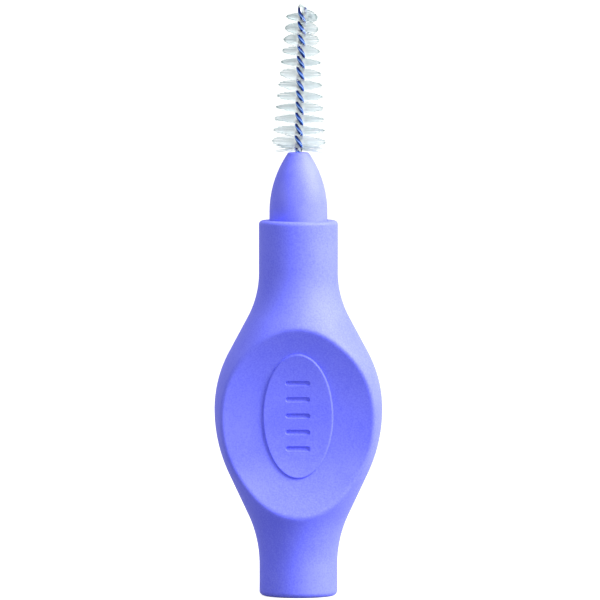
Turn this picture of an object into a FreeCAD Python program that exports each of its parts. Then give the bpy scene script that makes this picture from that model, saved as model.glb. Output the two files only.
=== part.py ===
import FreeCAD, Part
import math
import os

# An interdental brush that stands upright: tail at the bottom, brush at the top.
# Millimetres, +Z up along the handle, origin at the centre of the tail's flat end.

# Grip: one soft moulding, round in section, with a thumb dish in front and behind
tail_radius = 3.9
tail_length = 3.1  # straight wall at the bottom
tail_edge_radius = 0.5
bulb_radius = 8.4  # widest section
bulb_height = 18.7  # of the widest section above the tail's end
neck_height = 13.7  # from the widest section up to the collar
collar_radius = 3.95
collar_length = 5.2
collar_edge_radius = 0.55
flank_straight_share = 0.29  # of a flank's height: what is straight between its two arcs
hollow_arc_share = 0.44  # of the two arcs' radii added up: the hollow one

# Thumb dishes: each is cut by a large barrel whose axis stands in front of the grip
dish_wall = 2.7  # from the grip's middle plane to the floor of a dish
dish_height = 15.05  # of the deepest section
dish_upper_radius = 26.5  # up the handle from there
dish_lower_radius = 11.5  # and down
dish_across_radius = 60.0
dish_rim_radius = 0.7

# Oval pad on each dish floor, with short grip grooves across it
pad_height = 18.2
pad_half_width = 3.55
pad_half_length = 6.3
pad_rise = 0.15
pad_groove_count = 5
pad_groove_length = 2.5
pad_groove_width = 0.5
pad_groove_pitch = 1.65
pad_groove_depth = 0.12

# Flexing stretch of the grip, between the bulb and the collar
flex_length = 7.0
flex_top_gap = 4.0  # from the flexing stretch up to the collar's top

# Nose: a hard moulding that holds the wire, anchored inside the collar
nose_length = 6.8  # above the collar
nose_base_radius = 2.9
nose_land = 0.8  # straight wall above the collar
nose_tip_radius = 1.0
nose_tip_edge_radius = 0.3
nose_seat_depth = 0.3  # how far its base sits in the collar's top
stem_radius = 1.7
stem_length = 2.9
stem_flange_radius = 2.35
stem_flange_thickness = 0.6
mould_clearance = 0.02  # between two pieces moulded onto each other

# Wire: one wire folded at the tip, its two strands twisted round the filaments
strand_radius = 0.18
twist_pitch = 2.264
wire_embedded = 5.4  # inside the nose
brush_lean = 1.5  # degrees, towards +X
bend_start = 0.4  # above the nose tip
bend_length = 1.8
loop_rise = 0.35  # from the last twisted section to the round end of the loop

# Filaments: straight rods pinched between the strands, longest beside the nose
filament_diameter = 0.08
filament_clearance = 0.01
filaments_per_tier = 9
full_tiers = 12
first_tier_height = 1.08  # of the lowest full tier above the nose tip
lowest_filament_height = 0.2
long_reach = 2.7  # from the wire's axis to a filament's end, at the lowest full tier
short_reach = 1.6  # the same at the top tier

overrun = 1.0  # how far a cutting solid stands out of what it cuts
touch = 0.001  # two places closer than this are the same

# Heights that follow from the sizes above
collar_start = bulb_height + neck_height
collar_top = collar_start + collar_length
flex_top = collar_top - flex_top_gap
flex_bottom = flex_top - flex_length
nose_seat = collar_top - nose_seat_depth
nose_tip = collar_top + nose_length
bend_bottom = nose_tip + bend_start
bend_top = bend_bottom + bend_length
tier_pitch = twist_pitch / 2
first_tier = nose_tip + first_tier_height
top_tier = first_tier + (full_tiers - 1) * tier_pitch
twist_top = top_tier + tier_pitch / 2
strand_offset = strand_radius + filament_diameter / 2 + filament_clearance
wire_reach = strand_offset + strand_radius


def at(radius, height):
    return FreeCAD.Vector(radius, 0, height)


def line(start, end):
    return Part.LineSegment(start, end).toShape()


def turned_solid(edges, axis_place):
    # A closed outline turned about a vertical axis
    face = Part.Face(Part.Wire(edges))
    return face.revolve(axis_place, FreeCAD.Vector(0, 0, 1), 360)


def quarter_edge(low_or_high, radius, height, edge_radius):
    # The round edge of a cylinder's end: +1 at its top, -1 at its bottom
    centre = at(radius - edge_radius, height - low_or_high * edge_radius)
    slant = edge_radius * math.cos(math.pi / 4)
    middle = centre + FreeCAD.Vector(slant, 0, low_or_high * slant)
    wall_end = at(radius, centre.z)
    flat_end = at(centre.x, height)
    if low_or_high > 0:
        return Part.Arc(wall_end, middle, flat_end).toShape()
    return Part.Arc(flat_end, middle, wall_end).toShape()


def flank_points(narrow, wide):
    # A hollow arc, a straight and a round arc, tangent to each other and upright at both ends
    step_out = wide.x - narrow.x
    rise = abs(wide.z - narrow.z)
    way = math.copysign(1, wide.z - narrow.z)
    straight = flank_straight_share * rise
    slope = 2 * math.atan(step_out / (rise + straight))
    both_radii = (rise - straight * math.cos(slope)) / math.sin(slope)
    hollow = hollow_arc_share * both_radii
    rounded = both_radii - hollow

    def on_hollow(angle):
        out = hollow * (1 - math.cos(angle))
        return at(narrow.x + out, narrow.z + way * hollow * math.sin(angle))

    def on_round(angle):
        back = rounded * (1 - math.cos(angle))
        return at(wide.x - back, wide.z - way * rounded * math.sin(angle))

    return [
        narrow,
        on_hollow(slope / 2),
        on_hollow(slope),
        on_round(slope),
        on_round(slope / 2),
        wide,
    ]


def flank_edges(points):
    return [
        Part.Arc(points[0], points[1], points[2]).toShape(),
        line(points[2], points[3]),
        Part.Arc(points[3], points[4], points[5]).toShape(),
    ]


def round_grip():
    tail_end = at(tail_radius, tail_length)
    widest = at(bulb_radius, bulb_height)
    collar_end = at(collar_radius, collar_start)
    lower = flank_points(tail_end, widest)
    upper = flank_points(collar_end, widest)
    upper.reverse()
    edges = [
        line(at(0, 0), at(tail_radius - tail_edge_radius, 0)),
        quarter_edge(-1, tail_radius, 0, tail_edge_radius),
        line(at(tail_radius, tail_edge_radius), tail_end),
        *flank_edges(lower),
        *flank_edges(upper),
        line(collar_end, at(collar_radius, collar_top - collar_edge_radius)),
        quarter_edge(1, collar_radius, collar_top, collar_edge_radius),
        line(at(collar_radius - collar_edge_radius, collar_top), at(0, collar_top)),
        line(at(0, collar_top), at(0, 0)),
    ]
    return turned_solid(edges, at(0, 0))


def dish_barrel(rise=0):
    # What a front dish leaves free; with a rise it stands that far off the dish floor
    axis_y = -(dish_wall + rise + dish_across_radius)
    bulge = bulb_radius - dish_wall + overrun
    outermost_y = axis_y - dish_across_radius

    def place(radius, way, share):
        # On the barrel's side, from its widest section (share 0) to its end (share 1)
        angle = math.acos(1 - bulge / radius) * share
        inward = radius * (1 - math.cos(angle))
        return FreeCAD.Vector(0, outermost_y + inward, dish_height + way * radius * math.sin(angle))

    low, low_middle, widest = [place(dish_lower_radius, -1, share) for share in (1, 1 / 2, 0)]
    high_middle, high = [place(dish_upper_radius, 1, share) for share in (1 / 2, 1)]
    edges = [
        Part.Arc(low, low_middle, widest).toShape(),
        Part.Arc(widest, high_middle, high).toShape(),
        line(high, low),
    ]
    return turned_solid(edges, FreeCAD.Vector(0, axis_y, 0))


def rim_edges(solid, barrel):
    # The edges that the barrel cut
    found = []
    for edge in solid.Edges:
        middle = edge.valueAt((edge.FirstParameter + edge.LastParameter) / 2)
        if barrel.distToShape(Part.Vertex(middle))[0] < touch:
            found.append(edge)
    return found


def behind(shape):
    # The same on the grip's back
    return shape.rotated(at(0, 0), FreeCAD.Vector(0, 0, 1), 180)


def pad_prism():
    ellipse = Part.Ellipse(at(0, 0), pad_half_length, pad_half_width).toShape()
    face = Part.Face(Part.Wire(ellipse))
    face.rotate(at(0, 0), FreeCAD.Vector(1, 0, 0), 90)
    face.rotate(at(0, 0), FreeCAD.Vector(0, 1, 0), 90)
    face.translate(FreeCAD.Vector(0, -dish_wall / 2, pad_height))
    return face.extrude(FreeCAD.Vector(0, -bulb_radius, 0))


def pad_grooves():
    # What the grooves take out of the front pad, each with rounded ends
    floor = dish_barrel(pad_rise - pad_groove_depth)
    front = -dish_wall / 2 - bulb_radius
    half_width = pad_groove_width / 2
    half_run = pad_groove_length / 2 - half_width
    grooves = []
    for index in range(pad_groove_count):
        middle = pad_height + (index - (pad_groove_count - 1) / 2) * pad_groove_pitch
        corner = FreeCAD.Vector(-half_run, front, middle - half_width)
        groove = Part.makeBox(2 * half_run, bulb_radius, pad_groove_width, corner)
        for end in (-half_run, half_run):
            foot = FreeCAD.Vector(end, front, middle)
            groove = groove.fuse(Part.makeCylinder(half_width, bulb_radius, foot, FreeCAD.Vector(0, 1, 0)))
        grooves.append(groove.common(floor))
    return grooves


def whole_grip():
    grip = round_grip()
    barrel = dish_barrel()
    for cutter in (barrel, behind(barrel)):
        grip = grip.cut(cutter)
        grip = grip.makeFillet(dish_rim_radius, rim_edges(grip, cutter))
    pad = pad_prism().cut(dish_barrel(pad_rise))
    grooves = pad_grooves()
    grip = grip.fuse([pad, behind(pad)])
    return grip.cut(grooves + [behind(groove) for groove in grooves])


def slab(bottom, top):
    # A block wider than the grip, to take a stretch of it
    half = bulb_radius + overrun
    return Part.makeBox(2 * half, 2 * half, top - bottom, FreeCAD.Vector(-half, -half, bottom))


def nose_outline(clearance=0):
    # Half of the nose's section, from the stem's foot to the top of its straight land
    foot = nose_seat - stem_length - clearance
    flange_top = nose_seat - stem_length + stem_flange_thickness + clearance
    stem = stem_radius + clearance
    flange = stem_flange_radius + clearance
    base = nose_base_radius + clearance
    seat = nose_seat - clearance
    land_top = collar_top + nose_land
    return [
        at(0, foot),
        at(flange, foot),
        at(flange, flange_top),
        at(stem, flange_top),
        at(stem, seat),
        at(base, seat),
        at(base, land_top),
    ]


def joined(points):
    return [line(start, end) for start, end in zip(points, points[1:])]


def nose_room():
    # What the nose takes out of the collar
    outline = nose_outline(mould_clearance)
    outline += [at(0, outline[-1].z), outline[0]]
    return turned_solid(joined(outline), at(0, 0))


def leaning(shape):
    # The brush leans as one from the nose tip
    return shape.rotated(at(0, nose_tip), FreeCAD.Vector(0, 1, 0), brush_lean)


def nose():
    outline = nose_outline()
    foot_of_arc = outline[-1]
    rise = nose_tip - foot_of_arc.z
    taper = nose_base_radius - nose_tip_radius
    arc_radius = (rise**2 + taper**2) / (2 * taper)
    half_angle = math.asin(rise / arc_radius) / 2
    middle = at(
        nose_base_radius - arc_radius * (1 - math.cos(half_angle)),
        foot_of_arc.z + arc_radius * math.sin(half_angle),
    )
    tip_edge = at(nose_tip_radius, nose_tip)
    edges = joined(outline)
    edges.append(Part.Arc(foot_of_arc, middle, tip_edge).toShape())
    edges += joined([tip_edge, at(0, nose_tip), outline[0]])
    solid = turned_solid(edges, at(0, 0))
    rim = []
    for edge in solid.Edges:
        low, high = edge.BoundBox.ZMin, edge.BoundBox.ZMax
        if abs(low - nose_tip) < touch and abs(high - nose_tip) < touch:
            rim.append(edge)
    solid = solid.makeFillet(nose_tip_edge_radius, rim)
    bore_foot = at(0, nose_tip - wire_embedded)
    bore = Part.makeCylinder(wire_reach + mould_clearance, wire_embedded + overrun, bore_foot)
    return solid.cut(leaning(bore))


def twist_angle(height):
    # A left-hand twist, whose strands stand one before the other at each tier
    return -math.pi / 2 - 2 * math.pi * (height - first_tier) / twist_pitch


def strand_at(height, side):
    # Place and upward direction of a strand's centreline; side is 0 or 1
    angle = twist_angle(height) + side * math.pi
    place = FreeCAD.Vector(
        strand_offset * math.cos(angle), strand_offset * math.sin(angle), height
    )
    turn = 2 * math.pi * strand_offset / twist_pitch
    way = FreeCAD.Vector(turn * math.sin(angle), -turn * math.cos(angle), 1)
    return place, way.normalize()


def tangent_arc(start, way, end):
    # The arc that leaves start along way and ends at end
    chord = end - start
    across = chord - way * chord.dot(way)
    if across.Length < touch * chord.Length:
        return line(start, end)
    across.normalize()
    radius = chord.Length**2 / (2 * chord.dot(across))
    turn = 2 * math.atan2(chord.dot(across), chord.dot(way))
    half = turn / 2
    middle = start + (way * math.sin(half) + across * (1 - math.cos(half))) * radius
    return Part.Arc(start, middle, end).toShape()


def biarc(start, start_way, end, end_way):
    # Two tangent arcs between two places with given directions
    gap = end - start
    ways = start_way + end_way
    lean = 2 * (1 - start_way.dot(end_way))
    along = gap.dot(ways)
    if lean < touch**2:
        reach = gap.dot(gap) / (4 * gap.dot(end_way))
    else:
        reach = (math.sqrt(along**2 + lean * gap.dot(gap)) - along) / lean
    meet = (start + start_way * reach + end - end_way * reach) * (1 / 2)
    first = tangent_arc(start, start_way, meet)
    back = tangent_arc(end, end_way * -1, meet)
    return [first, back]


def strand_edges(bottom, top, side):
    # The centreline of one strand from one height to another, in quarter turns
    count = math.ceil((top - bottom) / (twist_pitch / 4) - touch)
    edges = []
    for index in range(count):
        start = strand_at(bottom + (top - bottom) * index / count, side)
        end = strand_at(bottom + (top - bottom) * (index + 1) / count, side)
        edges += biarc(start[0], start[1], end[0], end[1])
    return edges


def tube(edges, start, way):
    # A round wire along its centreline
    path = Part.Wire(Part.__sortEdges__(edges))
    ring = Part.Wire(Part.Circle(start, way, strand_radius).toShape())
    solid = path.makePipeShell([ring], True, False)
    share = solid.Volume / (math.pi * strand_radius**2 * path.Length)
    print(f"wire {path.Length:.2f} mm long, volume {share:.4f} of its section times its length")
    return solid


def strand_pair(bottom, top):
    strands = []
    for side in (0, 1):
        start, way = strand_at(bottom, side)
        strands.append(tube(strand_edges(bottom, top, side), start, way))
    return leaning(Part.Compound(strands))


def loop_edges():
    # From the top of one strand over the round end to the top of the other
    upward = FreeCAD.Vector(0, 0, 1)
    loop_foot = twist_top + loop_rise
    left, left_way = strand_at(twist_top, 0)
    right, right_way = strand_at(twist_top, 1)
    left_foot = FreeCAD.Vector(left.x, left.y, loop_foot)
    right_foot = FreeCAD.Vector(right.x, right.y, loop_foot)
    crown = FreeCAD.Vector(0, 0, loop_foot + strand_offset)
    edges = biarc(left, left_way, left_foot, upward)
    edges.append(Part.Arc(left_foot, crown, right_foot).toShape())
    edges += biarc(right, right_way, right_foot, upward)
    return edges


def folded_wire():
    # One unbroken tube: up one strand, over the loop and down the other
    start, way = strand_at(bend_top, 0)
    edges = strand_edges(bend_top, twist_top, 0)
    edges += loop_edges()
    edges += strand_edges(bend_top, twist_top, 1)
    return leaning(tube(edges, start, way))


def filament(height):
    # A straight rod through the gap between the strands
    share = (height - first_tier) / (top_tier - first_tier)
    reach = long_reach + (short_reach - long_reach) * share
    angle = twist_angle(height) + math.pi / 2
    way = FreeCAD.Vector(math.cos(angle), math.sin(angle), 0)
    start = FreeCAD.Vector(0, 0, height) - way * reach
    return Part.makeCylinder(filament_diameter / 2, 2 * reach, start, way)


def tuft(tier):
    # The filaments of one half turn of the wire; tier 0 is what shows of the one below the first
    middle = first_tier + (tier - 1) * tier_pitch
    spacing = tier_pitch / filaments_per_tier
    rods = []
    for index in range(filaments_per_tier):
        height = middle + (index - (filaments_per_tier - 1) / 2) * spacing
        if height > nose_tip + lowest_filament_height:
            rods.append(filament(height))
    return leaning(Part.Compound(rods))


def wire_clearance_report():
    # Least gap between the two strands, measured on points of their centrelines
    steps = 400
    least = twist_pitch
    start, _ = strand_at(first_tier, 0)
    for index in range(steps):
        height = first_tier + twist_pitch * (index / steps - 1 / 2)
        least = min(least, (strand_at(height, 1)[0] - start).Length)
    gap = least - 2 * strand_radius
    print(f"gap between the strands {gap:.3f} mm, for filaments of {filament_diameter} mm")


def all_nodes():
    grip = whole_grip()
    collar = grip.common(slab(flex_top, collar_top + overrun))
    nodes = {
        "grip": grip.common(slab(-overrun, flex_bottom)),
        "grip_neck": grip.common(slab(flex_bottom, flex_top)),
        "grip_collar": collar.cut(nose_room()),
        "nose": nose(),
        "wire_root": strand_pair(nose_tip - wire_embedded + mould_clearance, bend_bottom),
        "wire_bend": strand_pair(bend_bottom, bend_top),
        "wire": folded_wire(),
    }
    for tier in range(full_tiers + 1):
        nodes[f"bristle_tuft_{tier:02d}"] = tuft(tier)
    return nodes


os.makedirs("parts", exist_ok=True)
wire_clearance_report()
for name, shape in all_nodes().items():
    print(f"{name}: {len(shape.Solids)} solids, volume {shape.Volume:.4f}")
    shape.exportStep(f"parts/{name}.step")
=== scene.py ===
import bpy
import math
import random
from mathutils import Matrix, Vector


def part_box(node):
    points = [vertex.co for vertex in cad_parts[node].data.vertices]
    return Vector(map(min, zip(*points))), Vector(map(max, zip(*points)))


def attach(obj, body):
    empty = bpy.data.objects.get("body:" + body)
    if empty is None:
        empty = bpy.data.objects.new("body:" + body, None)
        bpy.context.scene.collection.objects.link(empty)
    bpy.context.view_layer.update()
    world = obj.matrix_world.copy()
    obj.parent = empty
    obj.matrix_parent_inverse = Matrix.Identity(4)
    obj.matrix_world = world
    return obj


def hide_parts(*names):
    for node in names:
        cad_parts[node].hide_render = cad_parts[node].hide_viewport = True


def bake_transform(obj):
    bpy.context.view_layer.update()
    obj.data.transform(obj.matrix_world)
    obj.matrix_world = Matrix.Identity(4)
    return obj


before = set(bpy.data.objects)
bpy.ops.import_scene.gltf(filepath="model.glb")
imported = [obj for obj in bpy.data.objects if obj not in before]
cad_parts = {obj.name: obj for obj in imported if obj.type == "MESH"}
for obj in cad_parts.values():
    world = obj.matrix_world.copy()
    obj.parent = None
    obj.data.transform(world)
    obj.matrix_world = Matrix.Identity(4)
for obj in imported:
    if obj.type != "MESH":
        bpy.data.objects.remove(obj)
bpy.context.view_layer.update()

# The frame and Blender are in metres; the sizes in the dictionaries are in millimetres
mm = 0.001
tiny = 0.001  # points closer than this are one, and a smaller rounding is left out
neckMiddle = sum(corner.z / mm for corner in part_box("grip_neck")) / 2
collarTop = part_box("grip_collar")[1].z / mm
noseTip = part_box("nose")[1].z / mm
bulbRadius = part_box("grip")[1].x / mm


# Selecting and drawing

def selectOnly(piece):
    bpy.ops.object.select_all(action="DESELECT")
    piece.select_set(True)
    bpy.context.view_layer.objects.active = piece


def pointOutwards(piece):
    # Turns every face of a closed mesh outwards
    selectOnly(piece)
    bpy.ops.object.mode_set(mode="EDIT")
    bpy.ops.mesh.select_all(action="SELECT")
    bpy.ops.mesh.normals_make_consistent(inside=False)
    bpy.ops.object.mode_set(mode="OBJECT")


def arcPoints(centre, radius, start, end, steps):
    # Places on an arc; its angles are in degrees, from outwards towards up
    places = []
    for index in range(steps + 1):
        angle = math.radians(start + (end - start) * index / steps)
        places.append((centre[0] + radius * math.cos(angle), centre[1] + radius * math.sin(angle)))
    return places


def linePoints(start, end, step):
    # Places on a straight line after its start, about a step apart
    count = max(1, round(math.dist(start, end) / step))
    places = []
    for index in range(1, count + 1):
        share = index / count
        places.append((start[0] + (end[0] - start[0]) * share, start[1] + (end[1] - start[1]) * share))
    return places


def slopeAt(curve, place, step):
    # How steeply a curve rises at a place, from what it gives a step before and after
    return (curve(place + step) - curve(place - step)) / (2 * step)


def turned(name, outline, sides):
    # Draws an outline of (radius, height) point by point and spins it about the upright axis
    bpy.ops.mesh.primitive_plane_add(size=mm, location=(0, 0, 0))
    piece = bpy.context.object
    piece.name = name
    piece.data.name = name
    bpy.ops.object.mode_set(mode="EDIT")
    bpy.ops.mesh.merge(type="CENTER")
    bpy.ops.transform.translate(value=(outline[0][0] * mm, 0, outline[0][1] * mm))
    for here, there in zip(outline, outline[1:]):
        stroke = ((there[0] - here[0]) * mm, 0, (there[1] - here[1]) * mm)
        bpy.ops.mesh.extrude_vertices_move(TRANSFORM_OT_translate={"value": stroke})
    bpy.ops.mesh.select_all(action="SELECT")
    bpy.ops.mesh.spin(steps=sides, angle=2 * math.pi, center=(0, 0, 0), axis=(0, 0, 1))
    bpy.ops.mesh.select_all(action="SELECT")
    bpy.ops.mesh.remove_doubles(threshold=tiny * mm)
    bpy.ops.object.mode_set(mode="OBJECT")
    pointOutwards(piece)
    return piece


def finished(piece, material, smoothAngle=35):
    # Its material and smooth shading where faces meet at less than an angle
    piece.data.materials.clear()
    piece.data.materials.append(material)
    selectOnly(piece)
    bpy.ops.object.shade_smooth_by_angle(angle=math.radians(smoothAngle))


# Painting

class Field:
    # A socket that arithmetic works on
    def __init__(self, paint, socket):
        self.paint = paint
        self.socket = socket

    def maths(self, operation, first, second):
        return self.paint.node("ShaderNodeMath", {"operation": operation}, {0: first, 1: second})

    def __add__(self, other):
        return self.maths("ADD", self, other)

    def __radd__(self, other):
        return self.maths("ADD", other, self)

    def __sub__(self, other):
        return self.maths("SUBTRACT", self, other)

    def __rsub__(self, other):
        return self.maths("SUBTRACT", other, self)

    def __mul__(self, other):
        return self.maths("MULTIPLY", self, other)

    def __rmul__(self, other):
        return self.maths("MULTIPLY", other, self)


class Paint:
    # The nodes of a material or of the world
    def __init__(self, owner, attribute=None):
        owner.use_nodes = True
        self.owner = owner
        self.tree = owner.node_tree
        self.tree.nodes.clear()
        self.attribute = attribute  # in which pieces that bend keep their places at rest

    def node(self, kind, settings, sockets, output=0):
        made = self.tree.nodes.new(kind)
        for key, value in settings.items():
            setattr(made, key, value)
        for key, value in sockets.items():
            if isinstance(value, Field):
                self.tree.links.new(value.socket, made.inputs[key])
            else:
                made.inputs[key].default_value = value
        return Field(self, made.outputs[output]) if made.outputs else None

    def place(self):
        if self.attribute:
            return self.node("ShaderNodeAttribute", {"attribute_name": self.attribute}, {}, "Vector")
        return self.node("ShaderNodeTexCoord", {}, {}, "Object")

    def stretched(self, scale):
        # The place, with each of its three numbers scaled
        return self.node("ShaderNodeMapping", {}, {"Vector": self.place(), "Scale": scale})

    def along(self, axis):
        # One number of the place, in millimetres
        return self.node("ShaderNodeSeparateXYZ", {}, {"Vector": self.place()}, axis) * (1 / mm)

    def noise(self, width, detail, where=None):
        # Soft spots of about a width, in millimetres
        sockets = {"Vector": where or self.place(), "Scale": 1 / (width * mm), "Detail": detail}
        return self.node("ShaderNodeTexNoise", {}, sockets)

    def ramp(self, value, low, high):
        # 0 below low and 1 above high, smooth between
        sockets = {"Value": value, "From Min": low, "From Max": high}
        return self.node("ShaderNodeMapRange", {"interpolation_type": "SMOOTHSTEP"}, sockets)

    def mixed(self, share, first, second):
        # 6, 7 and 2 are the Mix node's sockets for colours
        return self.node("ShaderNodeMix", {"data_type": "RGBA"}, {0: share, 6: first, 7: second}, 2)

    def bumped(self, height, depth, strength):
        # Bumps of a depth in millimetres
        sockets = {"Height": height, "Distance": depth * mm, "Strength": strength}
        return self.node("ShaderNodeBump", {}, sockets)

    def shown(self, shader, output="ShaderNodeOutputMaterial"):
        self.node(output, {}, {"Surface": shader})
        return self.owner

    def plastic(self, sockets):
        return self.shown(self.node("ShaderNodeBsdfPrincipled", {}, sockets))


def colour(*levels):
    # A colour of a paint program, 0 to 255, as Blender counts light
    light = []
    for share in [level / 255 for level in levels]:
        light.append(share / 12.92 if share < 0.04045 else ((share + 0.055) / 1.055) ** 2.4)
    return (*light, 1)


def mouldedMaterial(name, look):
    # Violet-blue plastic with faint patches and a fine moulded grain
    paint = Paint(bpy.data.materials.new(name))
    patches = paint.noise(look["patchWidth"], 3.0)
    grain = paint.noise(look["grainWidth"], look["grainDetail"])
    share = paint.ramp(0.4 * patches + 0.6 * grain, 0.36, 0.64)
    return paint.plastic({
        "Base Color": paint.mixed(share, look["darker"], look["lighter"]),
        "Roughness": look["roughness"] + 0.05 * patches + 0.05 * grain,
        "Normal": paint.bumped(grain, look["grainDepth"], look["grainStrength"]),
        "Specular IOR Level": look["specular"],
        "Sheen Weight": 0.04,
        "Sheen Roughness": 0.5,
    })


# Grip: one soft moulding, drawn in two halves that meet in the middle of the flexing neck

softLook = {
    "patchWidth": 6.0,
    "grainWidth": 0.16,
    "grainDetail": 3.0,
    "grainDepth": 0.012,
    "grainStrength": 0.35,
    "darker": colour(98, 105, 249),
    "lighter": colour(116, 123, 255),
    "roughness": 0.6,
    "specular": 0.5,
}
grip = {
    "tailRadius": 3.9,
    "tailLength": 3.1,
    "tailEdge": 0.5,
    "bulbHeight": 18.7,
    "collarRadius": 3.95,
    "collarLength": 5.2,
    "collarEdge": 0.4,
    "straightShare": 0.29,  # of a flank's rise
    "hollowShare": 0.44,  # of the radii of a flank's two arcs
    "ringStep": 0.2,
    "footStep": 0.6,  # between the rings of the tail's flat end
    "meetingStep": 1.2,  # between those of the flats where the halves meet
    "sides": 288,
    "onSkin": 0.01,  # a point this near the round skin lies on it
    "seatEdge": 0.07,  # round edge of the opening that the nose stands in
    "clearance": 0.02,
    "flexStart": 24.7,  # the moulding bends above the thumb pads
}
dish = {
    "wall": 2.7,  # from the middle plane to the dish floor
    "height": 15.05,
    "upperRadius": 26.5,
    "lowerRadius": 11.5,
    "acrossRadius": 60.0,
    "endShare": 0.95,  # of a radius, where the dish ends
    "farAway": 20.0,  # stands for no dish at all
    "rimRadius": 0.5,
    "rimReach": 4,  # rim radii between skin and floor, past which the rim isn't near
    "probe": 0.02,  # how far on both sides a slope is taken
    "halvings": 14,  # of the search for the rounded rim
}
collarStart = collarTop - grip["collarLength"]


def flankRadius(up, rise, narrow, wide):
    # A hollow arc, a straight and a round arc, upright at both ends; up counts from the narrow end
    step = wide - narrow
    straight = grip["straightShare"] * rise
    slope = 2 * math.atan(step / (rise + straight))
    bothRadii = (rise - straight * math.cos(slope)) / math.sin(slope)
    hollow = grip["hollowShare"] * bothRadii
    rounded = bothRadii - hollow
    if up < hollow * math.sin(slope):
        return narrow + hollow - math.sqrt(hollow**2 - up**2)
    down = rise - up
    if down < rounded * math.sin(slope):
        return wide - rounded + math.sqrt(rounded**2 - down**2)
    past = up - hollow * math.sin(slope)
    return narrow + hollow * (1 - math.cos(slope)) + past * math.tan(slope)


def skinRadius(height):
    # The grip's radius before the dishes are sunk into it
    if height < grip["tailLength"]:
        return grip["tailRadius"]
    if height < grip["bulbHeight"]:
        rise = grip["bulbHeight"] - grip["tailLength"]
        return flankRadius(height - grip["tailLength"], rise, grip["tailRadius"], bulbRadius)
    if height < collarStart:
        rise = collarStart - grip["bulbHeight"]
        return flankRadius(collarStart - height, rise, grip["collarRadius"], bulbRadius)
    return grip["collarRadius"]


def skinPoints(low, high):
    count = round((high - low) / grip["ringStep"])
    heights = [low + (high - low) * index / count for index in range(count + 1)]
    return [(skinRadius(height), height) for height in heights]


def dishDepth(across, height):
    # From the middle plane to the floor of a dish
    off = height - dish["height"]
    radius = dish["upperRadius"] if off > 0 else dish["lowerRadius"]
    if abs(off) > radius * dish["endShare"]:
        return dish["farAway"]
    sag = radius - math.sqrt(radius**2 - off**2)
    return dish["wall"] + dish["acrossRadius"] - math.sqrt((dish["acrossRadius"] - sag) ** 2 - across**2)


def softCorner(first, second, softness):
    # The larger of two values, rounded over where they are close
    share = max(1 - abs(first - second) / softness, 0)
    return max(first, second) + softness * share**2 / 4


def skinDepth(across, body, height):
    # From the middle plane to the skin, with the rim of the dish rounded over
    floor = dishDepth(across, height)
    depth = min(body, floor)
    if abs(body - floor) > dish["rimReach"] * dish["rimRadius"] + abs(across) / 2:
        return depth
    radius = skinRadius(height)
    slope = slopeAt(skinRadius, height, dish["probe"])
    floorAcross = slopeAt(lambda place: dishDepth(place, height), across, dish["probe"])
    floorUp = slopeAt(lambda place: dishDepth(across, place), height, dish["probe"])
    reach = math.hypot(across, depth)
    bodyWay = Vector((across / reach, depth / reach, -slope)).normalized()
    floorWay = Vector((-floorAcross, 1, -floorUp)).normalized()
    softness = dish["rimRadius"] * (1 - bodyWay.dot(floorWay))
    if softness < tiny:
        return depth
    bodyShare = 1 / math.hypot(1, slope)

    def outside(place):
        fromBody = (math.hypot(across, place) - radius) * bodyShare
        return softCorner(fromBody, (place - floor) * floorWay.y, softness)

    # The rounded skin lies where outside turns positive
    low, high = max(depth - dish["rimRadius"], 0), depth
    for _ in range(dish["halvings"]):
        middle = (low + high) / 2
        if outside(middle) > 0:
            high = middle
        else:
            low = middle
    return (low + high) / 2


def sinkDishes(piece):
    # Moves the front and the back of the bulb in to the dish floors
    near = grip["onSkin"]
    for vertex in piece.data.vertices:
        across, depth, height = [value / mm for value in vertex.co]
        if abs(depth) > near and abs(math.hypot(across, depth) - skinRadius(height)) < near:
            vertex.co.y = math.copysign(skinDepth(across, abs(depth), height) * mm, depth)


def lowerGrip():
    edge = grip["tailEdge"]
    corner = (grip["tailRadius"] - edge, edge)
    outline = [(0, 0)]
    outline += linePoints((0, 0), (corner[0], 0), grip["footStep"])
    outline += arcPoints(corner, edge, -90, 0, steps=10)[1:]
    outline += skinPoints(edge, neckMiddle)[1:]
    outline += linePoints(outline[-1], (0, neckMiddle), grip["meetingStep"])
    piece = turned("grip_lower", outline, grip["sides"])
    sinkDishes(piece)
    finished(piece, softGrip)
    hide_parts("grip", "grip_neck")
    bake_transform(piece)


nose = {
    "baseRadius": 2.9,
    "baseEdge": 0.05,
    "land": 0.8,  # upright above the collar
    "landStep": 0.15,
    "tipRadius": 1.0,
    "tipEdge": 0.3,
    "seatDepth": 0.3,
    "stemRadius": 1.7,
    "stemLength": 2.9,
    "flangeRadius": 2.35,
    "flangeThickness": 0.6,
    "holeRadius": 0.44,
    "holeEdge": 0.05,
    "holeDepth": 0.6,
    "sides": 176,
}
noseSeat = collarTop - nose["seatDepth"]
stemFoot = noseSeat - nose["stemLength"]
flangeTop = stemFoot + nose["flangeThickness"]


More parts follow.
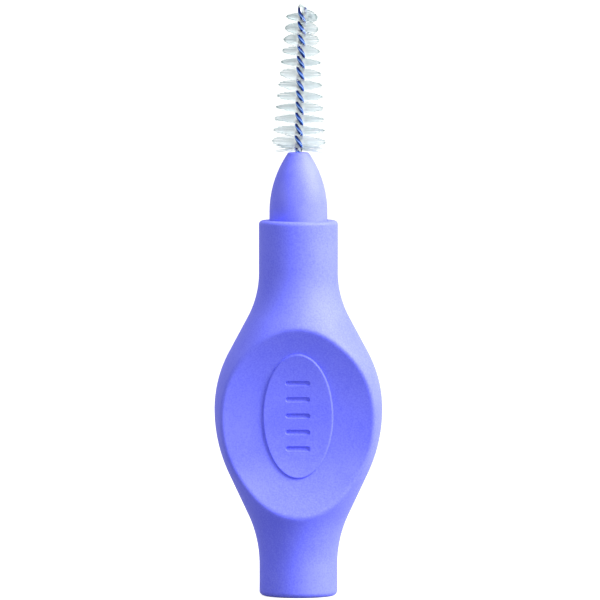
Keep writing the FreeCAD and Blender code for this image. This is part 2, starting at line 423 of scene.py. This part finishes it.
def upperGrip():
    edge, lip, gap = grip["collarEdge"], grip["seatEdge"], grip["clearance"]
    corner = (grip["collarRadius"] - edge, collarTop - edge)
    room = nose["baseRadius"] + gap
    outline = [(0, neckMiddle)]
    outline += linePoints((0, neckMiddle), (skinRadius(neckMiddle), neckMiddle), grip["meetingStep"])
    outline += skinPoints(neckMiddle, collarTop - edge)[1:]
    outline += arcPoints(corner, edge, 0, 90, steps=12)[1:]
    outline += arcPoints((room + lip, collarTop - lip), lip, 90, 180, steps=5)
    outline += [
        (room, noseSeat - gap),
        (nose["stemRadius"] + gap, noseSeat - gap),
        (nose["stemRadius"] + gap, flangeTop + gap),
        (nose["flangeRadius"] + gap, flangeTop + gap),
        (nose["flangeRadius"] + gap, stemFoot - gap),
        (0, stemFoot - gap),
    ]
    piece = turned("grip_upper", outline, grip["sides"])
    finished(piece, softGrip)
    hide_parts("grip_collar")
    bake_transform(piece)


softGrip = mouldedMaterial("softGrip", softLook)
lowerGrip()
upperGrip()
print("grip made")


# Thumb pads: raised ovals on the dish floors, with short grip grooves

pad = {
    "height": 18.2,
    "halfWidth": 3.55,
    "halfLength": 6.3,
    "rise": 0.22,
    "sunk": 0.1,  # how far its underside lies in the dish floor
    "edge": 0.09,
    "edgeEnd": 40,  # degrees, where the edge's arc turns into the sloping wall
    "wallDraft": 0.1,
    "band": 0.36,  # along the rim, where the rings keep their distance from it
    "sides": 240,
    "ringStep": 0.16,
    "undersideStep": 0.6,
}
groove = {
    "count": 5,
    "length": 2.5,
    "width": 0.56,
    "pitch": 1.65,
    "depth": 0.23,
    "sides": 24,
    "probe": 0.05,
}


def padGroove(middle):
    # A capsule that lies across the pad and cuts one groove
    radius = (groove["width"] ** 2 / 4 + groove["depth"] ** 2) / (2 * groove["depth"])
    half = groove["length"] / 2 - groove["width"] / 2
    outline = arcPoints((0, -half), radius, -90, 0, steps=8)
    outline += arcPoints((0, half), radius, 0, 90, steps=8)
    cutter = turned("padGroove", outline, groove["sides"])
    slope = slopeAt(lambda height: dishDepth(0, height), middle, groove["probe"])
    out = Vector((0, -1, -slope)).normalized() * (radius - groove["depth"])
    floor = -(dishDepth(0, middle) + pad["rise"])
    cutter.data.transform(Matrix.Rotation(math.pi / 2, 4, "Y"))
    cutter.data.transform(Matrix.Translation(Vector((out.x, floor + out.y, middle + out.z)) * mm))
    return cutter


def layOnDish(piece):
    # Turns a flat disc into the oval pad, at one distance from the dish floor all round
    for vertex in piece.data.vertices:
        reach = math.hypot(vertex.co.x, vertex.co.y) / mm
        turn = math.atan2(vertex.co.y, vertex.co.x)
        inset = pad["halfWidth"] - reach
        up = reach / pad["halfWidth"] * pad["halfLength"]
        if inset < pad["band"]:
            up = pad["halfLength"] - inset
        across = reach * math.cos(turn)
        height = pad["height"] + up * math.sin(turn)
        depth = dishDepth(across, height) + vertex.co.z / mm
        vertex.co = Vector((across, -depth, height)) * mm


def thumbPad(name, backwards):
    edge, rim, rise, under = pad["edge"], pad["halfWidth"], pad["rise"], -pad["sunk"]
    shoulder = rim - pad["wallDraft"] - edge
    outline = [(0, rise)]
    outline += linePoints((0, rise), (rim - pad["band"], rise), pad["ringStep"])
    outline += linePoints(outline[-1], (shoulder, rise), edge)
    outline += arcPoints((shoulder, rise - edge), edge, 90, pad["edgeEnd"], steps=4)[1:]
    outline += [(rim, 0), (rim + pad["wallDraft"] / 2, under)]
    outline += linePoints(outline[-1], (0, under), pad["undersideStep"])
    piece = turned(name, outline, pad["sides"])
    layOnDish(piece)
    pointOutwards(piece)
    for index in range(groove["count"]):
        middle = pad["height"] + (index - (groove["count"] - 1) / 2) * groove["pitch"]
        cutter = padGroove(middle)
        selectOnly(piece)
        cut = piece.modifiers.new("groove", "BOOLEAN")
        cut.operation = "DIFFERENCE"
        cut.solver = "EXACT"
        cut.object = cutter
        bpy.ops.object.modifier_apply(modifier=cut.name)
        bpy.data.objects.remove(cutter)
    if backwards:
        piece.data.transform(Matrix.Rotation(math.pi, 4, "Z"))
    finished(piece, softGrip, smoothAngle=30)
    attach(piece, "grip")


thumbPad("thumb_pad_front", backwards=False)
thumbPad("thumb_pad_back", backwards=True)
print("thumb pads made")


# Nose: the hard moulding that holds the wire, smoother than the grip and with finer grain

hardLook = {
    "patchWidth": 2.5,
    "grainWidth": 0.09,
    "grainDetail": 2.0,
    "grainDepth": 0.008,
    "grainStrength": 0.3,
    "darker": colour(103, 109, 249),
    "lighter": colour(123, 129, 255),
    "roughness": 0.58,
    "specular": 0.42,
}


def noseOutline():
    # Its side is one round sweep, upright at the foot, that runs into the round edge of the tip
    foot = collarTop + nose["land"]
    rise = noseTip - foot
    taper = nose["baseRadius"] - nose["tipRadius"]
    sweep = (rise**2 + taper**2) / (2 * taper)
    centre = (nose["baseRadius"] - sweep, foot)
    edge = nose["tipEdge"]
    edgeHeight = noseTip - edge
    edgeMiddle = centre[0] + math.sqrt((sweep - edge) ** 2 - (edgeHeight - foot) ** 2)
    turn = math.degrees(math.atan2(edgeHeight - foot, edgeMiddle - centre[0]))
    base = nose["baseRadius"] - nose["baseEdge"]
    lip = nose["holeRadius"] + nose["holeEdge"]
    holeFloor = noseTip - nose["holeDepth"]
    outline = [
        (0, stemFoot),
        (nose["flangeRadius"], stemFoot),
        (nose["flangeRadius"], flangeTop),
        (nose["stemRadius"], flangeTop),
        (nose["stemRadius"], noseSeat),
    ]
    outline += arcPoints((base, noseSeat + nose["baseEdge"]), nose["baseEdge"], -90, 0, steps=3)
    outline += linePoints(outline[-1], (nose["baseRadius"], foot), nose["landStep"])
    outline += arcPoints(centre, sweep, 0, turn, steps=44)[1:]
    outline += arcPoints((edgeMiddle, edgeHeight), edge, turn, 90, steps=7)[1:]
    outline += arcPoints((lip, noseTip - nose["holeEdge"]), nose["holeEdge"], 90, 180, steps=4)
    outline += [(nose["holeRadius"], holeFloor), (0, holeFloor)]
    return outline


def makeNose():
    piece = turned("nose_cone", noseOutline(), nose["sides"])
    finished(piece, mouldedMaterial("hardNose", hardLook))
    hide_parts("nose")
    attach(piece, "head")


makeNose()
print("nose made")


# Wire: one wire folded at the tip, its strands twisted left-handed

wire = {
    "strandRadius": 0.195,
    "offset": 0.23,  # from the brush axis to a strand's middle
    "pitch": 2.264,
    "embedded": 5.3,
    "firstTier": 1.08,  # above the nose tip
    "tiers": 12,
    "loopRise": 0.35,
    "loopEasing": 0.5,  # where the twist slows down below the loop
    "loopStep": 12,  # degrees
    "lean": 1.5,  # degrees
    "bendStart": 0.4,
    "bendLength": 1.8,
    "stepsPerTurn": 28,
    "roundness": 9,
}
coating = {
    "darker": colour(0, 54, 150),
    "lighter": colour(6, 76, 194),
    # painted highlight: a pale line along the outermost side of each strand
    "paintedHighlight": colour(192, 230, 255),
    # painted shade: navy on the sides of each strand, where they turn away from the front
    "groove": colour(2, 10, 76),
    "pinch": colour(238, 248, 252),  # between the strands, where the filaments go in
    "bare": colour(196, 206, 205),
    # Where one look gives way to the next, as squares of the distance from the brush axis
    "pinchEnd": (0.052, 0.075),
    "paintedShadeToPolish": (0.14, 0.162),
    "paintedHighlightStart": (0.1751, 0.1794),
    "bareStart": (0.452, 0.702),  # but this one as heights above the twist
    "patchWidth": 0.5,
    "scratchWidth": 0.06,
    "scratchStretch": (1, 1, 0.15),
    "scratchDepth": 0.004,
}
tierPitch = wire["pitch"] / 2
firstTier = noseTip + wire["firstTier"]
topTier = firstTier + (wire["tiers"] - 1) * tierPitch
twistTop = topTier + tierPitch / 2
leanTurn = Matrix.Rotation(math.radians(wire["lean"]), 3, "Y")


def leaning(place):
    # The whole brush leans from the nose tip; millimetres in, metres out
    foot = Vector((0, 0, noseTip))
    return (foot + leanTurn @ (Vector(place) - foot)) * mm


def brushPlace(paint):
    # Where a material lies on the leaning brush: its height, how far to the side,
    # and the square of its distance from the brush axis
    height = paint.along("Z")
    side = paint.along("X") - (height - noseTip) * math.tan(math.radians(wire["lean"]))
    front = paint.along("Y")
    return height, side, side * side + front * front


def coatedWireMaterial():
    # Blue coating, smoother on the outside of the twist and thin at the loop, with painted shade on the
    # sides of each strand and a painted highlight along its outermost line
    paint = Paint(bpy.data.materials.new("coatedWire"), "unbent")
    patches = paint.noise(coating["patchWidth"], 2.0)
    scratches = paint.noise(coating["scratchWidth"], 3.0, paint.stretched(coating["scratchStretch"]))
    height, _, bulge = brushPlace(paint)
    # 0 on the sides of each strand, which carry the painted shade, and 1 further out, where the coating is
    # smoother
    polishedPastPaintedShade = paint.ramp(bulge, *coating["paintedShadeToPolish"])
    blue = paint.mixed(paint.ramp(patches, 0.35, 0.65), coating["darker"], coating["lighter"])
    # the painted highlight along the outermost line of each strand
    paintedHighlight = paint.mixed(paint.ramp(bulge, *coating["paintedHighlightStart"]), blue, coating["paintedHighlight"])
    # pale between the strands, where the filaments go in, then the navy painted shade on the strands'
    # sides
    hollow = paint.mixed(paint.ramp(bulge, *coating["pinchEnd"]), coating["pinch"], coating["groove"])
    bare = paint.ramp(height - twistTop + 0.35 * patches, *coating["bareStart"])
    return paint.plastic({
        "Base Color": paint.mixed(bare, paint.mixed(polishedPastPaintedShade, hollow, paintedHighlight), coating["bare"]),
        "Roughness": 0.34 - 0.14 * polishedPastPaintedShade + 0.1 * scratches,
        "Specular IOR Level": 0.15,
        "Normal": paint.bumped(scratches, coating["scratchDepth"], 0.3),
    })


def twistAngle(height):
    return -math.pi / 2 - 2 * math.pi * (height - firstTier) / wire["pitch"]


def easedAngle(height):
    # The twist slows down and stops where the loop begins
    start = twistTop - wire["loopEasing"] / 2
    if height < start:
        return twistAngle(height)
    share = min((height - start) / wire["loopEasing"], 1)
    return twistAngle(start + wire["loopEasing"] * (share - share**2 / 2))


def strandPlace(height, side):
    # side is 0 or 1, for one strand or the other
    angle = easedAngle(height) + side * math.pi
    return (wire["offset"] * math.cos(angle), wire["offset"] * math.sin(angle), height)


def wirePlaces():
    # Up one strand, over the loop and down the other
    low = noseTip - wire["embedded"]
    high = twistTop + wire["loopRise"]
    count = round((high - low) / wire["pitch"] * wire["stepsPerTurn"])
    heights = [low + (high - low) * index / count for index in range(count + 1)]
    rising = [strandPlace(height, 0) for height in heights]
    falling = [strandPlace(height, 1) for height in reversed(heights)]
    turn = easedAngle(high)
    loop = []
    for degrees in range(wire["loopStep"], 180, wire["loopStep"]):
        out = wire["offset"] * math.cos(math.radians(degrees))
        up = wire["offset"] * math.sin(math.radians(degrees))
        loop.append((out * math.cos(turn), out * math.sin(turn), high + up))
    return rising + loop + falling


def tubes(name, lines, radius, roundness):
    # Round rods along lines of (place, thickness share), which remember their places at rest
    data = bpy.data.curves.new(name, "CURVE")
    data.dimensions = "3D"
    data.bevel_depth = radius * mm
    data.bevel_resolution = roundness
    data.use_fill_caps = True
    for line in lines:
        spline = data.splines.new("POLY")
        spline.points.add(len(line) - 1)
        for point, (place, share) in zip(spline.points, line):
            point.co = (*place, 1)
            point.radius = share
    piece = bpy.data.objects.new(name, data)
    bpy.context.collection.objects.link(piece)
    selectOnly(piece)
    bpy.ops.object.convert(target="MESH")
    piece = bpy.context.object
    unbent = piece.data.attributes.new("unbent", "FLOAT_VECTOR", "POINT")
    unbent.data.foreach_set("vector", [value for vertex in piece.data.vertices for value in vertex.co])
    return piece


def bendsWithWire(piece):
    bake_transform(piece)


def makeWire():
    line = [(leaning(place), 1) for place in wirePlaces()]
    piece = tubes("twisted_wire", [line], wire["strandRadius"], wire["roundness"])
    finished(piece, coatedWireMaterial(), smoothAngle=60)
    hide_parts("wire_root", "wire_bend", "wire")
    bendsWithWire(piece)


makeWire()
print("wire made")


# Filaments: thin nylon rods pinched between the strands, one mesh for each half turn

tuft = {
    "rods": 40,
    "radius": 0.034,
    "roundness": 1,
    "frontShare": 0.4,  # half of those that point to the front and back are left out
    "turnSpread": 1.3,  # degrees
    "tiltSpread": 0.8,
    "curlSpread": 0.012,
    "reachSpread": 0.018,
    "longReach": 2.7,  # beside the nose
    "shortReach": 1.6,  # at the top
    "bendingTufts": 3,
    "shares": (-1, -0.97, -0.7, -0.35, 0, 0.35, 0.7, 0.97, 1),  # of the reach, along a rod
    "tipThickness": 0.55,
    # How far each half turn spreads on its two sides, in degrees, from the nose up
    "leftFan": (0, 5, -2, -3, -5, -2, 0, 6, -6, -2, 6, 4, -6),
    "rightFan": (0, 9, 1, 1, 6, 3, 3, 7, -1, 8, 18, 21, 20),
    "looseFan": 15,  # from this much on, the filaments are in some disorder
    "looseRods": 50,
    "looseSpread": 1.3,
}
strays = {
    "rods": 26,
    "low": 0.22,
    "high": 0.75,
    "turnSpread": 24,
    "tilt": -3,
    "tiltSpread": 5,
    "lowestTilt": -8,  # clear of the nose
    "unruly": 2,
    "shorter": 0.35,
}
crest = {
    "rods": 12,
    "low": 0.3,
    "high": 0.8,
    "turnSpread": 16,
    "tilt": -22,
    "tiltSpread": 5,
    "shorter": 0.2,
}
nylon = {
    "clear": (colour(217, 225, 227), colour(226, 233, 235)),
    "milky": (colour(238, 243, 244), colour(246, 250, 251)),
    "clearTip": colour(162, 182, 182),
    "milkyTip": colour(190, 206, 206),
    "paintedLightNearWire": colour(252, 254, 254),  # painted light: lighter near the wire, to lift the shade where many stand close together
    "milkyShare": 0.1,
    "strandWidth": 0.25,
    "tipEnd": (0.2, 1.5),  # reach squared less distance squared, from the darker tip to the rest
    "tipShrink": 0.055,  # for each millimetre of height
    "paintedLightEnd": (0.04, 0.35),  # distance to the side, squared
    "scatter": 0.15,
}
reachLoss = (tuft["longReach"] - tuft["shortReach"]) / (topTier - firstTier)
chance = random.Random(11)


def reachAt(height):
    # How far the filaments reach from the axis, for a number or a material's height
    return tuft["longReach"] - (height - firstTier) * reachLoss


def filamentMaterial():
    # Pale, half clear nylon, a little darker at the tips and painted lighter beside the wire
    paint = Paint(bpy.data.materials.new("filament"), "unbent")
    strands = paint.noise(nylon["strandWidth"], 1.0)
    height, side, fromAxis = brushPlace(paint)
    reach = reachAt(height)
    toTip = (reach * reach - fromAxis) * (1 + nylon["tipShrink"] * (height - firstTier))
    inside = paint.ramp(toTip, *nylon["tipEnd"])
    roughness = 0.4 + 0.1 * strands
    # painted light: beside the wire the tint turns near white, lifting the shade where the rods crowd
    outer = paint.ramp(side * side, *nylon["paintedLightEnd"])
    tint = paint.mixed(outer, nylon["paintedLightNearWire"], paint.mixed(strands, *nylon["clear"]))
    clear = paint.node("ShaderNodeBsdfPrincipled", {}, {
        "Base Color": paint.mixed(inside, nylon["clearTip"], tint),
        "Roughness": roughness,
        "Transmission Weight": 0.92,
        "IOR": 1.02,
    })
    milky = paint.node("ShaderNodeBsdfPrincipled", {}, {
        "Base Color": paint.mixed(inside, nylon["milkyTip"], paint.mixed(strands, *nylon["milky"])),
        "Roughness": roughness,
        "Subsurface Weight": 1.0,
        "Subsurface Radius": (1, 1, 1),
        "Subsurface Scale": nylon["scatter"] * mm,
    })
    return paint.shown(paint.node("ShaderNodeMixShader", {}, {0: nylon["milkyShare"], 1: clear, 2: milky}))


def rodHalf(height, turn, tilt, unruly):
    # How one half of a filament lies, with some disorder
    return {
        "turn": turn + math.radians(chance.gauss(0, tuft["turnSpread"] * unruly)),
        "tilt": math.tan(math.radians(tilt + chance.gauss(0, tuft["tiltSpread"] * unruly))),
        "curl": chance.gauss(0, tuft["curlSpread"] * unruly),
        "reach": reachAt(height) * (1 - abs(chance.gauss(0, tuft["reachSpread"] * unruly))),
    }


def shortened(half, most):
    half["reach"] *= 1 - chance.random() * most
    return half


def rodLine(height, left, right, shares):
    # The places along a filament, with its thickness there
    line = []
    for along in shares:
        half = left if along < 0 else right
        out = along * half["reach"]
        up = abs(out) * half["tilt"] + half["curl"] * out**2 / 2
        place = (out * math.cos(half["turn"]), out * math.sin(half["turn"]), height + up)
        line.append((leaning(place), tuft["tipThickness"] if abs(along) == 1 else 1))
    return line


def tierRods(tier):
    # The filaments of one half turn, which turn with the strands that hold them
    count = tuft["looseRods"] if tuft["rightFan"][tier] > tuft["looseFan"] else tuft["rods"]
    middle = firstTier + (tier - 1) * tierPitch
    lines = []
    for index in range(count):
        share = (index + chance.random()) / count
        height = middle + (share - 0.5) * tierPitch
        turn = easedAngle(height) + math.pi / 2
        if index % 2 and abs(math.cos(turn)) < tuft["frontShare"]:
            continue
        halves = []
        for way in (-1, 1):
            fan = tuft["rightFan" if way * math.cos(turn) > 0 else "leftFan"][tier]
            tilt = fan * (2 * share - 1)
            if fan > tuft["looseFan"]:
                tilt += chance.gauss(0, tuft["looseSpread"])
            halves.append(rodHalf(height, turn, tilt, 1))
        lines.append(rodLine(height, *halves, tuft["shares"]))
    return lines


def strayRods():
    # What shows of the filaments that the nose presses aside
    lines = []
    for _ in range(strays["rods"]):
        height = noseTip + chance.uniform(strays["low"], strays["high"])
        halves = []
        for _ in range(2):
            turn = math.radians(chance.gauss(0, strays["turnSpread"]))
            tilt = max(strays["tilt"] + chance.gauss(0, strays["tiltSpread"]), strays["lowestTilt"])
            half = rodHalf(height, turn, tilt, strays["unruly"])
            halves.append(shortened(half, strays["shorter"]))
        lines.append(rodLine(height, *halves, tuft["shares"]))
    return lines


def crestRods():
    # The uppermost filaments, which hang over to the right from the loop
    shares = [share for share in tuft["shares"] if share >= 0]
    lines = []
    for _ in range(crest["rods"]):
        rise = chance.uniform(crest["low"], crest["high"])
        turn = math.radians(chance.gauss(0, crest["turnSpread"]))
        tilt = crest["tilt"] + chance.gauss(0, crest["tiltSpread"])
        half = shortened(rodHalf(topTier, turn, tilt, 1), crest["shorter"])
        lines.append(rodLine(topTier + rise, half, half, shares))
    return lines


def makeTuft(tier):
    lines = tierRods(tier) if tier > 0 else strayRods()
    if tier == wire["tiers"]:
        lines += crestRods()
    piece = tubes(f"filaments_{tier:02d}", lines, tuft["radius"], tuft["roundness"])
    finished(piece, filamentNylon, smoothAngle=60)
    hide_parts(f"bristle_tuft_{tier:02d}")
    if tier < tuft["bendingTufts"]:
        bendsWithWire(piece)
    else:
        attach(piece, "brush")


filamentNylon = filamentMaterial()
for tier in range(wire["tiers"] + 1):
    makeTuft(tier)
print("filaments made")


# Floor, lamp and camera

studio = {
    "worldLevel": 0.84,
    "keyWatts": 6.2,
    "keyDistance": 500.0,
    "keySize": 400.0,
    "keySide": 69,  # degrees to the right of the front
    "keyRise": 37,
    "floorSize": 8000.0,
    "floorGlow": 0.9,
    "floorGrey": 0.3,
    "floorTone": 0.2,  # for the light that it throws back
    "aim": (0.16, 0, 29.62),
    "cameraSide": 1.0,
    "cameraRise": 3.4,
    "cameraDistance": 950.0,
    "frameWidth": 60.0,  # what the 600 pixels show at the object
    "sensorWidth": 36.0,
    "nearest": 10.0,  # what the camera sees
    "farthest": 20000.0,
}


def seenWhite(paint):
    # 1 where the camera, gloss or clear plastic looks, 0 for light that falls on the object
    rays = ("Is Camera Ray", "Is Glossy Ray", "Is Transmission Ray")
    camera, gloss, clear = [paint.node("ShaderNodeLightPath", {}, {}, ray) for ray in rays]
    return camera + gloss + clear


def makeWorld():
    world = bpy.data.worlds.new("studio")
    bpy.context.scene.world = world
    paint = Paint(world)
    strength = studio["worldLevel"] + (1 - studio["worldLevel"]) * seenWhite(paint)
    glow = paint.node("ShaderNodeBackground", {}, {"Color": (1, 1, 1, 1), "Strength": strength})
    paint.shown(glow, "ShaderNodeOutputWorld")


def matt(paint, tone):
    return paint.node("ShaderNodeBsdfDiffuse", {}, {"Color": (tone, tone, tone, 1)})


def makeFloor():
    bpy.ops.mesh.primitive_plane_add(size=studio["floorSize"] * mm, location=(0, 0, 0))
    floor = bpy.context.object
    floor.name = "studio_floor"
    paint = Paint(bpy.data.materials.new("studioFloor"))
    glow = paint.node("ShaderNodeEmission", {}, {"Color": (1, 1, 1, 1), "Strength": studio["floorGlow"]})
    white = paint.node("ShaderNodeAddShader", {}, {0: matt(paint, studio["floorGrey"]), 1: glow})
    sockets = {0: seenWhite(paint), 1: matt(paint, studio["floorTone"]), 2: white}
    floor.data.materials.append(paint.shown(paint.node("ShaderNodeMixShader", {}, sockets)))


def placed(name, data, aim, side, rise, distance):
    # Stands a lamp or the camera round the object and turns it to the aim; side and rise in degrees
    side, rise = math.radians(side), math.radians(rise)
    way = Vector((math.sin(side) * math.cos(rise), -math.cos(side) * math.cos(rise), math.sin(rise)))
    piece = bpy.data.objects.new(name, data)
    bpy.context.collection.objects.link(piece)
    piece.location = (Vector(aim) + way * distance) * mm
    piece.rotation_mode = "QUATERNION"
    piece.rotation_quaternion = way.to_track_quat("Z", "Y")
    return piece


def makeLamp():
    data = bpy.data.lights.new("keyLamp", "AREA")
    data.shape = "DISK"
    data.size = studio["keySize"] * mm
    data.energy = studio["keyWatts"]
    aim = (0, 0, studio["aim"][2])
    placed("keyLamp", data, aim, studio["keySide"], studio["keyRise"], studio["keyDistance"])


def makeCamera():
    data = bpy.data.cameras.new("camera")
    data.sensor_width = studio["sensorWidth"]
    data.lens = data.sensor_width * studio["cameraDistance"] / studio["frameWidth"]
    data.clip_start = studio["nearest"] * mm
    data.clip_end = studio["farthest"] * mm
    bpy.context.scene.camera = placed(
        "camera", data, studio["aim"], studio["cameraSide"], studio["cameraRise"], studio["cameraDistance"]
    )


makeWorld()
makeFloor()
makeLamp()
makeCamera()
bpy.context.scene.view_settings.view_transform = "Standard"
print("studio made")
